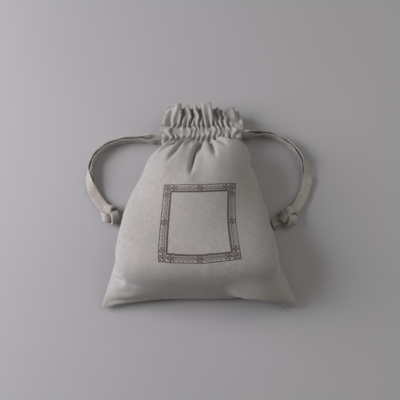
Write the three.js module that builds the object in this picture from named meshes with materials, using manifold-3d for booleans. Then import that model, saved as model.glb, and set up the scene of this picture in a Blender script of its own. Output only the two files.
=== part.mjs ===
// A small linen drawstring pouch, filled, lying on its back with its mouth gathered.
// Two flat tapes run through one casing, each tied off in a knot at its own side.
// Millimetres. +X runs across the bag, +Y from the bottom seam to the mouth, +Z up.
// The origin is on the table, under the middle of the bag without its free tapes.

import * as THREE from "three";
import { mergeVertices } from "three/addons/utils/BufferGeometryUtils.js";
import Module from "manifold-3d";

const wasm = await Module();
wasm.setup();

// Cloth and clearances
const CLOTH = 1; // one layer of linen
const GAP = 0.3; // clearance between pieces that are sewn or pressed together
const THREAD = 0.8; // sewing thread, across

// The filled body
const BAG_WIDTH = 150; // corner to corner
const BODY_LENGTH = 135; // corners to casing
const BELLY_AT = 25; // from the corners to the fullest place
const BELLY_WIDTH = 130; // across at the fullest place
const BELLY_HEIGHT = 45.5; // table to the top of the filled front
const CHEST_AT = 74; // from the corners to half-way up the front
const CHEST_WIDTH = 110;
const CHEST_HEIGHT = 44;
const SHOULDER_AT = 105; // from the corners to where the gathers begin
const SHOULDER_WIDTH = 88;
const SHOULDER_HEIGHT = 40;
const NECK_WIDTH = 68; // across the gathered neck
const NECK_LENGTH = 6; // parallel part of the neck, below the casing
const LEAN = 3; // how far the filling lies over to the left
const BOTTOM_INSET = 7.5; // how far the filling draws in the middle of the bottom seam
const CORNER_HEIGHT = 4; // seam above the table at the corners
const BOTTOM_SEAM_HEIGHT = 6; // seam above the table in the middle of the bottom
const BELLY_SEAM_HEIGHT = 13; // side seam above the table at the belly
const CHEST_SEAM_HEIGHT = 21; // and half-way up
const SHOULDER_FOLDS = 5; // folds that run from the casing down the shoulders
const FOLD_DEPTH = 5;

// The mouth
const MOUTH_GAP = 5.8; // clear height between the front and back collars
const CASING_HEIGHT = 11; // along the bag
const CHANNEL_DEPTH = 3.4; // clear depth of the casing for the tapes
const FACING_LENGTH = 40; // turned-in hem, stopping short of the side vents
const HEADER_WIDTH = 62; // gathered ruffle above the casing
const HEADER_HEIGHT = 20;
const HEADER_PLY = 1.6; // doubled cloth of the ruffle, pressed
const PUFF = 1.4; // how far a gather puffs out between the stitch rows
const CASING_PLEATS = 9;
const HEADER_PLEATS = 7;

// The drawstring tapes
const TAPE_WIDTH = 8;
const TAPE_PLY = 1;
const STRAND_SPACING = 2.2; // between the two strands of a loop, centre to centre
const RUN_WIDTH = 4; // a tape bunched up inside the casing
const RUN_DEPTH = 2.4;
const VENT_LEAD = 4; // straight stretch of a strand as it leaves its vent
const PULL_TRAVEL = 10; // how far a tape can still be drawn out
const KNOT_LENGTH = 16;
const KNOT_WIDTH = 13;
const KNOT_HEIGHT = 10;
const KNOT_WRAP = 4; // thickness of the turn that crosses the knot
const TAIL_SPREAD = 3; // between the cut ends of a knot's two tails

// A loop's plan, from near its vent to its knot, and where its tails end.
// The tape comes out of the casing on its edge and turns onto its face over the twist,
// which is given in shares of the route.
const LEFT_LOOP = {
  name: "left",
  side: -1,
  route: [[-46, 56.5], [-59, 56.3], [-71.5, 53], [-81, 46.7], [-87, 37.8], [-89, 27.3],
    [-87, 17], [-83, 8], [-77, -0.6], [-70.5, -8.7]],
  twist: [0.55, 0.85],
  tailEnd: [-56.5, -11],
};
const RIGHT_LOOP = {
  name: "right",
  side: 1,
  route: [[46.5, 61.5], [57, 61], [68, 56], [77.5, 47.5], [84, 37.5], [86.5, 26.5],
    [84.5, 15], [80.5, 5], [75.5, -3.2], [69.5, -10.5]],
  twist: [0.4, 0.75],
  tailEnd: [56.5, -16.5],
};

// Places that follow from the sizes
const BAG_LENGTH = BODY_LENGTH + CASING_HEIGHT + HEADER_HEIGHT;
const BOTTOM_Y = -BAG_LENGTH / 2;
const CASING_Y = BOTTOM_Y + BODY_LENGTH;
const HEADER_Y = CASING_Y + CASING_HEIGHT;
const CASING_LENGTH = CASING_HEIGHT - GAP; // along the bag, clear of the ruffle
const COLLAR_INSIDE = MOUTH_GAP / 2; // from the mouth's middle plane
const CHANNEL_FLOOR = COLLAR_INSIDE + CLOTH;
const CHANNEL_ROOF = CHANNEL_FLOOR + CHANNEL_DEPTH;
const COLLAR_PINCH = CHANNEL_ROOF + CLOTH; // outside of the collar at a stitch row
const COLLAR_REACH = COLLAR_PINCH + PUFF; // and on a gather between the rows
const MOUTH_Z = COLLAR_REACH + GAP / 2;
const NECK_TOP = MOUTH_Z + COLLAR_PINCH;
const RUN_Z = (CHANNEL_FLOOR + CHANNEL_ROOF) / 2; // a run, from the mouth's middle plane
const LANE = (RUN_WIDTH + GAP) / 2; // each tape keeps to its own half of the casing
const LANE_Y = CASING_Y + CASING_LENGTH / 2;
const RUN_END = NECK_WIDTH / 2 + GAP; // a run ends at its vent
const BIGHT_END = FACING_LENGTH / 2 + PULL_TRAVEL + GAP + RUN_DEPTH; // and turns at the far one

const QUARTER = Math.PI / 2;
const UP = new THREE.Vector3(0, 0, 1);

const LINEN = { color: 0xb3ada6, roughness: 0.92, metalness: 0 };
const TAPE = { color: 0xa8a299, roughness: 0.9, metalness: 0 };
const SEWING = { color: 0xbdb7af, roughness: 0.8, metalness: 0 };

function part(name, geometry, finish) {
  const mesh = new THREE.Mesh(geometry, new THREE.MeshStandardMaterial(finish));
  mesh.name = name;
  return mesh;
}

// Cutting and joining

function solidFrom(geometry) {
  const bare = geometry.clone();
  bare.deleteAttribute("normal");
  bare.deleteAttribute("uv");
  const merged = mergeVertices(bare, 1e-3);
  const vertProperties = merged.attributes.position.array;
  const triVerts = new Uint32Array(merged.index.array);
  return new wasm.Manifold(new wasm.Mesh({ numProp: 3, vertProperties, triVerts }));
}

function geometryFrom(solid) {
  const mesh = solid.getMesh();
  const geometry = new THREE.BufferGeometry();
  geometry.setAttribute("position", new THREE.BufferAttribute(mesh.vertProperties, 3));
  geometry.setIndex(new THREE.BufferAttribute(mesh.triVerts, 1));
  return geometry;
}

// Smooth lines

function smoothStep(share) {
  const t = Math.min(Math.max(share, 0), 1);
  return t * t * (3 - 2 * t);
}

// The smooth line through a few [place, value] points, read at one place.
// It turns only at the points, so it never strays past them.
function smoothLine(points, place) {
  const last = points.length - 1;
  let i = 0;
  while (i < last - 1 && place > points[i + 1][0]) i += 1;
  const chord = (k) => (points[k + 1][1] - points[k][1]) / (points[k + 1][0] - points[k][0]);
  const slope = (k) => {
    const before = chord(Math.max(k - 1, 0));
    const after = chord(Math.min(k, last - 1));
    return before * after > 0 ? (2 * before * after) / (before + after) : 0;
  };
  const span = points[i + 1][0] - points[i][0];
  const t = (place - points[i][0]) / span;
  const start = points[i][1] * (1 + 2 * t) + slope(i) * span * t;
  const end = points[i + 1][1] * (3 - 2 * t) - slope(i + 1) * span * (1 - t);
  return start * (1 - t) ** 2 + end * t ** 2;
}

// The two panels of the body.
// A place on a panel is across, from -1 at one side seam to 1 at the other,
// and along, from 0 at the bottom seam to 1 at the casing.

const FLAT_SHARE = 0.45; // middle part of the back that lies flat on the table
const TURN_UP_SHARE = 0.14; // bottom part of the back that rises to the bottom seam
const CORNER_SQUARENESS = 1.4; // across the bottom; lower is squarer
const BELLY_SQUARENESS = 0.6; // across the belly
const CHEST_SQUARENESS = 1; // half-way up the front
const NECK_SQUARENESS = 0.3; // across the neck
const ROW_BUNCHING = 1.4; // rows lie closer together near the bottom seam

function halfWidth(distance) {
  const stations = [
    [0, BAG_WIDTH / 2],
    [BELLY_AT, BELLY_WIDTH / 2],
    [CHEST_AT, CHEST_WIDTH / 2],
    [SHOULDER_AT, SHOULDER_WIDTH / 2],
    [BODY_LENGTH - NECK_LENGTH, NECK_WIDTH / 2],
    [BODY_LENGTH, NECK_WIDTH / 2],
  ];
  return smoothLine(stations, distance);
}

// The middle of the bag, between its side seams.
function middleX(distance) {
  return -LEAN * smoothLine([[0, 0], [CHEST_AT, 1], [BODY_LENGTH, 0]], distance);
}

function seamHeight(across, distance) {
  const stations = [
    [0, CORNER_HEIGHT],
    [BELLY_AT, BELLY_SEAM_HEIGHT],
    [CHEST_AT, CHEST_SEAM_HEIGHT],
    [BODY_LENGTH, MOUTH_Z],
  ];
  const lift = (BOTTOM_SEAM_HEIGHT - CORNER_HEIGHT) * Math.cos(across * QUARTER);
  const fade = 1 - smoothStep(distance / BELLY_AT);
  return smoothLine(stations, distance) + lift * fade;
}

function frontHeight(distance) {
  if (distance < BELLY_AT) {
    const rise = Math.sqrt(1 - (1 - distance / BELLY_AT) ** 2);
    return BOTTOM_SEAM_HEIGHT + (BELLY_HEIGHT - BOTTOM_SEAM_HEIGHT) * rise;
  }
  const stations = [
    [BELLY_AT, BELLY_HEIGHT],
    [CHEST_AT, CHEST_HEIGHT],
    [SHOULDER_AT, SHOULDER_HEIGHT],
    [BODY_LENGTH, NECK_TOP],
  ];
  return smoothLine(stations, distance);
}

// How far the front sinks into a fold, deepest at the casing.
function foldDepth(across, distance) {
  const share = smoothStep((distance - SHOULDER_AT) / (BODY_LENGTH - SHOULDER_AT));
  return (FOLD_DEPTH * share * (1 - Math.cos(2 * QUARTER * SHOULDER_FOLDS * across))) / 2;
}

// The plan of both panels; skin is 0 on the inside of the cloth and CLOTH on the outside.
function planPoint(across, along, skin) {
  const share = along ** ROW_BUNCHING;
  const distance = share * BODY_LENGTH;
  const turn = across * QUARTER;
  const bottom = BOTTOM_Y + BOTTOM_INSET * Math.cos(turn) ** 2 + CLOTH - skin;
  const x = middleX(distance) + (halfWidth(distance) - CLOTH + skin) * Math.sin(turn);
  const y = bottom + (CASING_Y - GAP - bottom) * share;
  return { x, y, share, distance };
}

function frontPoint(across, along, skin) {
  const { x, y, distance } = planPoint(across, along, skin);
  const squareness = smoothLine([
    [0, CORNER_SQUARENESS],
    [BELLY_AT, BELLY_SQUARENESS],
    [CHEST_AT, CHEST_SQUARENESS],
    [BODY_LENGTH, NECK_SQUARENESS],
  ], distance);
  const crown = Math.max(Math.cos(across * QUARTER), 0) ** squareness;
  const top = frontHeight(distance) - foldDepth(across, distance);
  const rise = top - seamHeight(0, distance) - CLOTH - GAP / 2;
  const z = seamHeight(across, distance) + GAP / 2 + skin + Math.max(rise, 0) * crown;
  return new THREE.Vector3(x, y, z);
}

function backPoint(across, along, skin) {
  const { x, y, share, distance } = planPoint(across, along, skin);
  const toSide = smoothStep((Math.abs(across) - FLAT_SHARE) / (1 - FLAT_SHARE));
  const toBottom = smoothStep((TURN_UP_SHARE - share) / TURN_UP_SHARE);
  const lift = 1 - (1 - toSide) * (1 - toBottom);
  const outside = (seamHeight(across, distance) - GAP / 2 - CLOTH) * lift;
  return new THREE.Vector3(x, y, outside + CLOTH - skin);
}

// A closed sheet between an upper and a lower surface, each read at across and along.
function sheetGeometry(upper, lower, columns, rows) {
  const positions = [];
  for (const surface of [upper, lower]) {
    for (let j = 0; j <= rows; j += 1) {
      for (let i = 0; i <= columns; i += 1) {
        positions.push(...surface((2 * i) / columns - 1, j / rows).toArray());
      }
    }
  }
  const layer = (columns + 1) * (rows + 1);
  const at = (i, j) => j * (columns + 1) + i;
  const index = [];
  for (let j = 0; j < rows; j += 1) {
    for (let i = 0; i < columns; i += 1) {
      const [a, b, c, d] = [at(i, j), at(i + 1, j), at(i + 1, j + 1), at(i, j + 1)];
      index.push(a, b, c, a, c, d);
      index.push(layer + a, layer + c, layer + b, layer + a, layer + d, layer + c);
    }
  }
  const rim = [];
  for (let i = 0; i < columns; i += 1) rim.push(at(i, 0));
  for (let j = 0; j < rows; j += 1) rim.push(at(columns, j));
  for (let i = columns; i > 0; i -= 1) rim.push(at(i, rows));
  for (let j = rows; j > 0; j -= 1) rim.push(at(0, j));
  rim.forEach((p, k) => {
    const q = rim[(k + 1) % rim.length];
    index.push(q, p, layer + p, q, layer + p, layer + q);
  });
  const geometry = new THREE.BufferGeometry();
  geometry.setAttribute("position", new THREE.Float32BufferAttribute(positions, 3));
  geometry.setIndex(index);
  return geometry;
}

function frontPanel() {
  const outside = (across, along) => frontPoint(across, along, CLOTH);
  const inside = (across, along) => frontPoint(across, along, 0);
  return part("front_panel", sheetGeometry(outside, inside, 6 * SHOULDER_FOLDS, 24), LINEN);
}

function backPanel() {
  const outside = (across, along) => backPoint(across, along, CLOTH);
  const inside = (across, along) => backPoint(across, along, 0);
  return part("back_panel", sheetGeometry(inside, outside, 18, 14), LINEN);
}

// Seam threads, running just inside the joint of the two panels

const SEAM_POINTS = 12;
const THREAD_INSET = CLOTH + 3 * GAP + THREAD / 2; // from the outside of the seam to the thread
const THREAD_LIFT = GAP + THREAD / 2; // from the joint's middle, up against the front
const CORNER_MARGIN = 14; // the threads stop short of the corners

function threadGeometry(points) {
  const section = new THREE.Shape();
  section.absarc(0, 0, THREAD / 2, 0, 2 * Math.PI);
  return new THREE.ExtrudeGeometry(section, {
    extrudePath: new THREE.CatmullRomCurve3(points),
    steps: SEAM_POINTS,
    curveSegments: 6,
    bevelEnabled: false,
  });
}

function sideSeam(name, side) {
  const points = [];
  for (let k = 0; k <= SEAM_POINTS; k += 1) {
    const distance = THREE.MathUtils.lerp(CORNER_MARGIN, BODY_LENGTH - CLOTH, k / SEAM_POINTS);
    const x = middleX(distance) + side * (halfWidth(distance) - THREAD_INSET);
    points.push(new THREE.Vector3(x, BOTTOM_Y + distance, seamHeight(1, distance) + THREAD_LIFT));
  }
  return part(name, threadGeometry(points), SEWING);
}

function bottomSeam() {
  const reach = Math.asin(1 - (2 * CORNER_MARGIN) / BAG_WIDTH) / QUARTER;
  const points = [];
  for (let k = 0; k <= SEAM_POINTS; k += 1) {
    const across = THREE.MathUtils.lerp(-reach, reach, k / SEAM_POINTS);
    const { x, y } = planPoint(across, 0, CLOTH);
    points.push(new THREE.Vector3(x, y + THREAD_INSET, seamHeight(across, 0) + THREAD_LIFT));
  }
  return part("bottom_seam_thread", threadGeometry(points), SEWING);
}

// The collar: casing, facing, ruffle and two stitch rows.
// Its Z is measured from the mouth's middle plane, and the back collar is the front one turned over.

// The outer layer of the casing, folded down along each stitch row towards the facing.
function casingGeometry() {
  const hem = CLOTH / 2;
  const foot = CHANNEL_FLOOR + GAP;
  const profile = new THREE.Shape([
    new THREE.Vector2(0, foot),
    new THREE.Vector2(hem, foot),
    new THREE.Vector2(hem, CHANNEL_ROOF),
    new THREE.Vector2(CASING_LENGTH - hem, CHANNEL_ROOF),
    new THREE.Vector2(CASING_LENGTH - hem, foot),
    new THREE.Vector2(CASING_LENGTH, foot),
    new THREE.Vector2(CASING_LENGTH, COLLAR_PINCH),
    new THREE.Vector2(CASING_LENGTH / 2, COLLAR_REACH),
    new THREE.Vector2(0, COLLAR_PINCH),
  ]);
  const geometry = new THREE.ExtrudeGeometry(profile, {
    depth: NECK_WIDTH,
    steps: 4 * CASING_PLEATS,
    bevelEnabled: false,
  });
  const position = geometry.attributes.position;
  for (let i = 0; i < position.count; i += 1) {
    const onCrest = position.getY(i) > COLLAR_PINCH + PUFF / 2;
    const wave = Math.sin((2 * Math.PI * CASING_PLEATS * position.getZ(i)) / NECK_WIDTH);
    if (onCrest) position.setY(i, COLLAR_PINCH + (PUFF * (1 - wave)) / 2);
  }
  return geometry.rotateX(QUARTER).rotateZ(QUARTER).translate(-NECK_WIDTH / 2, CASING_Y, 0);
}

function facingGeometry() {
  const geometry = new THREE.BoxGeometry(FACING_LENGTH, CASING_LENGTH, CLOTH);
  return geometry.translate(0, LANE_Y, COLLAR_INSIDE + CLOTH / 2);
}

// The ruffle: a doubled strip in standing waves that grow towards its free edge.
function headerGeometry() {
  const middle = (COLLAR_INSIDE + COLLAR_REACH) / 2;
  const swing = (COLLAR_REACH - COLLAR_INSIDE - HEADER_PLY) / 2;
  const surface = (offset) => (across, along) => {
    const wave = Math.cos(Math.PI * HEADER_PLEATS * across) * THREE.MathUtils.lerp(0.6, 1, along);
    const x = (across * HEADER_WIDTH) / 2;
    return new THREE.Vector3(x, HEADER_Y + along * HEADER_HEIGHT, middle + offset + wave * swing);
  };
  return sheetGeometry(surface(HEADER_PLY / 2), surface(-HEADER_PLY / 2), 6 * HEADER_PLEATS, 2);
}

function stitchRowGeometry(y) {
  const geometry = new THREE.CylinderGeometry(THREAD / 2, THREAD / 2, NECK_WIDTH - 2 * CLOTH, 8);
  return geometry.rotateZ(QUARTER).translate(0, y, COLLAR_PINCH + GAP + THREAD / 2);
}

function collar(side, turn) {
  const lowerRow = CASING_Y + THREAD / 2;
  const upperRow = CASING_Y + CASING_LENGTH - THREAD / 2;
  const group = new THREE.Group();
  group.add(
    part(`${side}_casing`, casingGeometry(), LINEN),
    part(`${side}_facing`, facingGeometry(), LINEN),
    part(`${side}_header`, headerGeometry(), LINEN),
    part(`${side}_lower_stitching`, stitchRowGeometry(lowerRow), SEWING),
    part(`${side}_upper_stitching`, stitchRowGeometry(upperRow), SEWING),
  );
  group.rotation.y = turn;
  group.position.z = MOUTH_Z;
  return group;
}

// A drawstring inside the casing: through the front, round at the far vent and back.

function laneY(side) {
  return LANE_Y + side * LANE;
}

function frontRun({ name, side }) {
  const geometry = new THREE.BoxGeometry(RUN_END + BIGHT_END, RUN_WIDTH, RUN_DEPTH);
  geometry.translate((side * (RUN_END - BIGHT_END)) / 2, laneY(side), MOUTH_Z + RUN_Z);
  return part(`${name}_front_run`, geometry, TAPE);
}

function backRun({ name, side }) {
  const low = -RUN_Z - RUN_DEPTH / 2;
  const high = RUN_Z - RUN_DEPTH / 2 - GAP;
  const inner = BIGHT_END - RUN_DEPTH;
  const outline = new THREE.Shape([
    new THREE.Vector2(side * RUN_END, low),
    new THREE.Vector2(-side * BIGHT_END, low),
    new THREE.Vector2(-side * BIGHT_END, high),
    new THREE.Vector2(-side * inner, high),
    new THREE.Vector2(-side * inner, low + RUN_DEPTH),
    new THREE.Vector2(side * RUN_END, low + RUN_DEPTH),
  ]);
  const geometry = new THREE.ExtrudeGeometry(outline, { depth: RUN_WIDTH, bevelEnabled: false });
  geometry.rotateX(QUARTER).translate(0, laneY(side) + RUN_WIDTH / 2, MOUTH_Z);
  return part(`${name}_back_run`, geometry, TAPE);
}

// A drawstring outside the casing

const LEVEL_SHARE = 0.1; // share of a loop's route over which it comes straight out of the casing
const DROP_SHARE = 0.3; // then comes down to the table
const RISE_SHARE = 0.15; // and at its end climbs into its knot
const LOOP_STEPS = 28;
const TAIL_STEPS = 4;
const KNOT_Z = KNOT_HEIGHT / 2 + GAP;

// A flat tape's route. Its lean is 0 where it lies on its face and a quarter turn on its edge,
// read at a place that counts the route's points, from 0 to 1.
class TapeRoute extends THREE.CatmullRomCurve3 {
  constructor(points, leanAt) {
    super(points);
    this.leanAt = leanAt;
  }

  // The tape's width follows its own lean, not the bends of the route.
  frameAt(place) {
    const tangent = this.getTangent(place);
    const width = UP.clone().cross(tangent).normalize();
    width.applyAxisAngle(tangent, this.leanAt(place));
    return { tangent, width, face: tangent.clone().cross(width) };
  }

  computeFrenetFrames(segments) {
    const frames = { tangents: [], normals: [], binormals: [] };
    for (let k = 0; k <= segments; k += 1) {
      const { tangent, width, face } = this.frameAt(this.getUtoTmapping(k / segments));
      frames.tangents.push(tangent);
      frames.normals.push(width);
      frames.binormals.push(face);
    }
    return frames;
  }

  // The same route, moved off by a distance through the tape's thickness.
  beside(distance, steps) {
    const points = this.getPoints(steps);
    points.forEach((point, k) => point.addScaledVector(this.frameAt(k / steps).face, distance));
    return new TapeRoute(points, this.leanAt);
  }
}

function tapeGeometry(route, steps) {
  const edge = TAPE_WIDTH / 2;
  const face = TAPE_PLY / 2;
  const round = TAPE_PLY / 4;
  const section = new THREE.Shape([
    new THREE.Vector2(edge, -round),
    new THREE.Vector2(edge, round),
    new THREE.Vector2(edge - round, face),
    new THREE.Vector2(round - edge, face),
    new THREE.Vector2(-edge, round),
    new THREE.Vector2(-edge, -round),
    new THREE.Vector2(round - edge, -face),
    new THREE.Vector2(edge - round, -face),
  ]);
  return new THREE.ExtrudeGeometry(section, { extrudePath: route, steps, bevelEnabled: false });
}

// A pair of tapes' middle above the table, where they rest at a lean.
function restingHeight(lean) {
  const onEdge = (TAPE_WIDTH / 2) * Math.abs(Math.sin(lean));
  const onFace = ((STRAND_SPACING + TAPE_PLY) / 2) * Math.cos(lean);
  return onEdge + onFace + GAP;
}

function strandRoute({ side, route, twist }, layer) {
  const leanAt = (place) => {
    const laid = smoothStep((place - twist[0]) / (twist[1] - twist[0]));
    return -side * QUARTER * (1 - laid);
  };
  const exit = MOUTH_Z + layer * RUN_Z;
  const start = [side * (RUN_END + GAP), laneY(side)];
  const clear = [side * (RUN_END + GAP + VENT_LEAD), laneY(side)];
  const points = [start, clear, ...route].map(([x, y], k, all) => {
    const share = k / (all.length - 1);
    const resting = restingHeight(leanAt(share));
    const held = 1 - smoothStep((share - LEVEL_SHARE) / DROP_SHARE);
    const tied = smoothStep((share - 1 + RISE_SHARE) / RISE_SHARE);
    const z = resting + (exit - resting) * held + (KNOT_Z - resting) * tied;
    return new THREE.Vector3(x, y, z);
  });
  return new TapeRoute(points, leanAt).beside((layer * STRAND_SPACING) / 2, LOOP_STEPS);
}

function tailRoute({ route, tailEnd }, layer) {
  const from = new THREE.Vector3(...route.at(-1), KNOT_Z);
  const to = new THREE.Vector3(...tailEnd, restingHeight(0));
  const aside = to.clone().sub(from).setZ(0).normalize().cross(UP);
  to.addScaledVector(aside, (layer * TAIL_SPREAD) / 2);
  const bend = from.clone().lerp(to, 0.5).setZ(THREE.MathUtils.lerp(from.z, to.z, 0.7));
  const middle = new TapeRoute([from, bend, to], () => 0);
  return middle.beside((layer * STRAND_SPACING) / 2, TAIL_STEPS);
}

// An overhand knot drawn tight: a core along the tape, and a turn that crosses it on the slant.
function knotSolid({ route, tailEnd }, grow) {
  const wrap = KNOT_WRAP / 2;
  const core = new THREE.SphereGeometry(1, 14, 10);
  core.scale(KNOT_LENGTH / 2 + grow, (KNOT_WIDTH - wrap) / 2 + grow, (KNOT_HEIGHT - wrap) / 2 + grow);
  const turn = new THREE.TorusGeometry(KNOT_HEIGHT / 2 - wrap, wrap + grow, 8, 16);
  turn.rotateY(QUARTER).scale(1, KNOT_WIDTH / KNOT_HEIGHT, 1).rotateZ(Math.PI / 6);
  const [x, y] = route.at(-1);
  const heading = Math.atan2(tailEnd[1] - y, tailEnd[0] - x);
  for (const geometry of [core, turn]) geometry.rotateZ(heading).translate(x, y, KNOT_Z);
  return solidFrom(core).add(solidFrom(turn));
}

// What is left of a tape outside its knot.
function outsideKnot(geometry, knot) {
  const pieces = solidFrom(geometry).subtract(knot).decompose();
  pieces.sort((a, b) => b.volume() - a.volume());
  return geometryFrom(pieces[0]);
}

function loop(plan) {
  const clearance = knotSolid(plan, GAP);
  const meshes = [part(`${plan.name}_knot`, geometryFrom(knotSolid(plan, 0)), TAPE)];
  for (const [side, layer] of [["front", 1], ["back", -1]]) {
    const strand = tapeGeometry(strandRoute(plan, layer), LOOP_STEPS);
    const tail = tapeGeometry(tailRoute(plan, layer), TAIL_STEPS);
    meshes.push(part(`${plan.name}_${side}_strand`, outsideKnot(strand, clearance), TAPE));
    meshes.push(part(`${plan.name}_${side}_tail`, outsideKnot(tail, clearance), TAPE));
  }
  return meshes;
}

const bag = new THREE.Group();
bag.add(frontPanel(), backPanel(), bottomSeam());
bag.add(sideSeam("left_seam_thread", -1), sideSeam("right_seam_thread", 1));
bag.add(collar("front", 0), collar("back", Math.PI));
for (const plan of [LEFT_LOOP, RIGHT_LOOP]) {
  bag.add(frontRun(plan), backRun(plan), ...loop(plan));
}

export default bag;
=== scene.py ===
import math

import bmesh
import bpy
from bpy.props import FloatProperty, FloatVectorProperty, IntProperty, PointerProperty
from bpy.types import Operator, Panel, PropertyGroup
from mathutils import Matrix, Vector
from mathutils.geometry import interpolate_bezier


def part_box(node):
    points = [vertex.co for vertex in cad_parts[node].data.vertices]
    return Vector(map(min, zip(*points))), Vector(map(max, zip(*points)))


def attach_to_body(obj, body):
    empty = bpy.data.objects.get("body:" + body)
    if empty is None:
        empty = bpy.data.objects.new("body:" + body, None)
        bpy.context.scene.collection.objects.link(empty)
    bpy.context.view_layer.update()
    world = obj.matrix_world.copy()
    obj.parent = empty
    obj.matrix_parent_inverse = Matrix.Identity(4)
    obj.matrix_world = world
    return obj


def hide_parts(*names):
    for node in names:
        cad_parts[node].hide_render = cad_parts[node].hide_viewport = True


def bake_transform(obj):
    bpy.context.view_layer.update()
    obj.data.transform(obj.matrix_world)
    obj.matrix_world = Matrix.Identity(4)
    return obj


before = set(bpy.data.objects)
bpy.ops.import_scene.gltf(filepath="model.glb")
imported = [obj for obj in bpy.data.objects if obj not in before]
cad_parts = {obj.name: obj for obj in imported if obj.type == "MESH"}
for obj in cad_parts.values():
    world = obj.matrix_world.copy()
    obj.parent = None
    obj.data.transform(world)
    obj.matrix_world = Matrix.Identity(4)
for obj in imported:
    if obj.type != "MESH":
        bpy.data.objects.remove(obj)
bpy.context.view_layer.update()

bl_info = {
    "name": "Linen drawstring bag",
    "version": (1, 0, 0),
    "blender": (4, 5, 0),
    "location": "View3D > Sidebar > Bag",
    "description": "Dresses the bag's frame with settled linen, tapes, knots and stitching",
    "category": "Object",
}

MM = 0.001
UP = Vector((0.0, 0.0, 1.0))

# Places that come from the frame
CORNER_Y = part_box("front_panel")[0].y
NECK_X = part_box("front_casing")[1].x
CASING_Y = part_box("front_casing")[0].y
HEADER_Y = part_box("front_header")[0].y
HEADER_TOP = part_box("front_header")[1].y
MOUTH_Z = (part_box("front_casing")[1].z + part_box("back_casing")[0].z) / 2
ROW_SINK = 3.5 * MM
FRONT_ROW_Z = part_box("front_casing")[1].z - ROW_SINK
BACK_ROW_Z = 2 * MOUTH_Z - FRONT_ROW_Z
RUN_HALF = (0.0019, 0.0008)
FRONT_RUN_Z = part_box("left_front_run")[0].z + RUN_HALF[1]
BACK_RUN_Z = 2 * MOUTH_Z - FRONT_RUN_Z
FRONT, BACK = 1, -1
# Third coordinate of the flat cloth, which gives each kind of piece its own stretch of the weave
PANEL_LAYER, TAPE_LAYER, FACING_LAYER = 0.05, 0.1, 0.2
SIDES = ((FRONT, "front"), (BACK, "back"))


def length_property(name, description, default):
    return FloatProperty(name=name, description=description, default=default, unit="LENGTH")


def colour_property(name, description, default):
    return FloatVectorProperty(name=name, description=description, default=default, subtype="COLOR")


class BagCloth(PropertyGroup):
    """The linen: its cut, its gathers and its finish"""

    flat_width: length_property(
        "Flat width", "Width of the front and of the back before gathering", 0.152)
    body_length: length_property(
        "Body length", "Cut length from the bottom seam to the lower stitch row", 0.167)
    header_length: length_property("Header length", "Cut height of the ruffle above the casing", 0.0245)
    pleats: IntProperty(
        name="Pleats", description="Small pleats in the gathered part of each casing", default=13)
    pleat_depth: length_property("Pleat depth", "Half the height of one pleat", 0.0028)
    ply: length_property("Ply", "Thickness of one layer of linen", 0.0006)
    thread_pitch: length_property(
        "Thread pitch", "Distance between neighbouring threads of the weave", 0.00062)
    linen: colour_property("Linen", "Colour of the linen", (0.385, 0.366, 0.346))
    ink: colour_property("Ink", "Colour of the printed border", (0.055, 0.037, 0.034))


class BagTape(PropertyGroup):
    """The drawstrings and the sewing thread"""

    width: length_property("Width", "Width of the flat tape", 0.008)
    ply: length_property("Ply", "Thickness of the folded tape", 0.001)
    tape: colour_property("Tape", "Colour of the tape", (0.40, 0.37, 0.335))
    thread: colour_property("Thread", "Colour of the sewing thread", (0.42, 0.385, 0.35))
    stitch_length: length_property("Stitch length", "Length of one stitch", 0.0022)


class BagStage(PropertyGroup):
    """The floor, the light and the camera"""

    elevation: FloatProperty(
        name="Elevation", description="Height of the camera above the horizon",
        default=math.radians(69.5), subtype="ANGLE")
    distance: length_property("Distance", "From the camera to its target", 0.538)
    lens: FloatProperty(name="Lens", description="Focal length in millimetres", default=63.0)
    floor: colour_property("Floor", "Colour of the floor", (0.42, 0.418, 0.425))
    key_power: FloatProperty(
        name="Key power", description="Power of the large lamp on the left, in watts", default=8.2)
    sky: FloatProperty(name="Sky", description="Strength of the even light", default=0.165)


# Small helpers

def smooth(share):
    """0 to 1 with level ends."""
    t = min(1.0, max(0.0, share))
    return t * t * (3 - 2 * t)


def along_line(points, share):
    """The value at share on a line of (share, value) points."""
    for (a, p), (b, q) in zip(points, points[1:]):
        if share <= b:
            return p + (q - p) * (share - a) / (b - a)
    return points[-1][1]


def set_all(item, values):
    for name, value in values.items():
        setattr(item, name, value)


def new_object(name, data):
    obj = bpy.data.objects.new(name, data)
    bpy.context.scene.collection.objects.link(obj)
    return obj


def mesh_from(bm, name):
    mesh = bpy.data.meshes.new(name)
    bm.to_mesh(mesh)
    bm.free()
    return mesh


def object_from(bm, name, material):
    """A finished piece with smooth faces, at the origin."""
    for face in bm.faces:
        face.smooth = True
    mesh = mesh_from(bm, name)
    mesh.materials.append(material)
    return new_object(name, mesh)


def ring_edges(ring):
    """The edges of a ring of vertices, in the same order each time."""
    return list(dict.fromkeys(edge for vert in ring for edge in vert.link_edges))


def subdivide(obj, levels=1):
    modifier = obj.modifiers.new("Soft", "SUBSURF")
    modifier.levels = levels
    modifier.render_levels = levels


def attach(obj, body, slot, *nodes):
    """Lets a piece ride on its body and stand for its nodes."""
    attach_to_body(obj, body)
    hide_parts(*nodes)


# Shader graphs

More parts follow.
